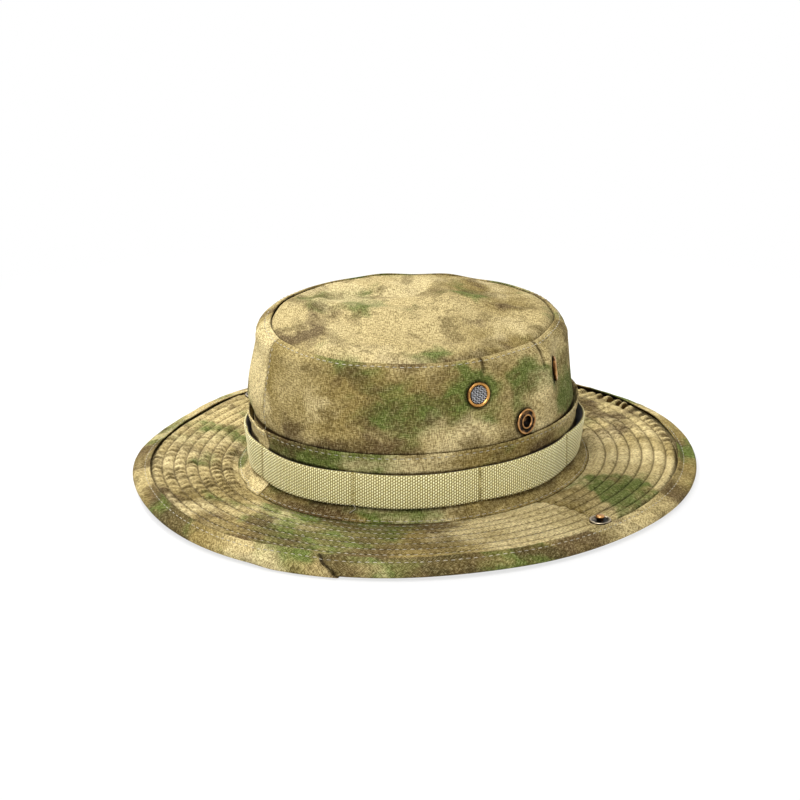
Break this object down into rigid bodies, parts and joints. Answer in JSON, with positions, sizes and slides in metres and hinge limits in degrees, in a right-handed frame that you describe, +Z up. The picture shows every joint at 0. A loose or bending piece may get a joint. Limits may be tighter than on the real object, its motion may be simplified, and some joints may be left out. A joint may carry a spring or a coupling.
{
  "type": "boonie hat",
  "caption": "Soft wide-brimmed field hat with foliage loops, screened vents and side brims that fold up and snap to the crown.",
  "frame": {"origin": "middle of the footprint, on the surface that the edge of the brim rests on", "axes": "+Z up through the crown, -Y towards the front of the hat as worn, -X towards the wearer's right"},
  "size_m": [0.3256, 0.3436, 0.0954],
  "materials": {
    "camouflage_cloth": "ripstop cotton with a soft blotched print in olive, tan, green and brown",
    "webbing": "khaki woven tape",
    "sweatband_cloth": "plain olive cotton twill",
    "interlining": "stiff unbleached canvas",
    "aged_brass": "antique brass with dark recesses",
    "screen_wire": "fine woven wire",
    "dark_snap_metal": "blackened metal with a brass head"
  },
  "bodies": {
    "crown": {"crown_top": "camouflage_cloth", "crown_side_right": "camouflage_cloth", "crown_side_left": "camouflage_cloth", "sweatband": "sweatband_cloth", "hat_band": "camouflage_cloth", "loop_band": "webbing", "brim_top_front": "camouflage_cloth", "brim_top_back": "camouflage_cloth", "brim_inner_front": "interlining", "brim_inner_back": "interlining", "brim_under_front": "camouflage_cloth", "brim_under_back": "camouflage_cloth", "binding_front": "camouflage_cloth", "binding_back": "camouflage_cloth", "right_socket": "aged_brass", "right_socket_cap": "aged_brass", "left_socket": "aged_brass", "left_socket_cap": "aged_brass", "right_front_vent_rim": "aged_brass", "right_front_vent_screen": "screen_wire", "right_front_vent_washer": "aged_brass", "right_back_vent_rim": "aged_brass", "right_back_vent_screen": "screen_wire", "right_back_vent_washer": "aged_brass", "left_front_vent_rim": "aged_brass", "left_front_vent_screen": "screen_wire", "left_front_vent_washer": "aged_brass", "left_back_vent_rim": "aged_brass", "left_back_vent_screen": "screen_wire", "left_back_vent_washer": "aged_brass"},
    "right_brim": {"right_flap_top": "camouflage_cloth", "right_flap_inner": "interlining", "right_flap_under": "camouflage_cloth", "right_flap_binding": "camouflage_cloth", "right_stud": "dark_snap_metal", "right_stud_cap": "dark_snap_metal"},
    "left_brim": {"left_flap_top": "camouflage_cloth", "left_flap_inner": "interlining", "left_flap_under": "camouflage_cloth", "left_flap_binding": "camouflage_cloth", "left_stud": "dark_snap_metal", "left_stud_cap": "dark_snap_metal"}
  },
  "joints": [
    {"name": "right_brim_fold", "type": "hinge", "parent": "crown", "child": "right_brim", "pos_m": [-0.1011, 0, 0.00858], "axis": [0, 1, 0], "range_deg": [0, 103.5]},
    {"name": "left_brim_fold", "type": "hinge", "parent": "crown", "child": "left_brim", "pos_m": [0.1011, 0, 0.00858], "axis": [0, -1, 0], "range_deg": [0, 103.5]}
  ]
}
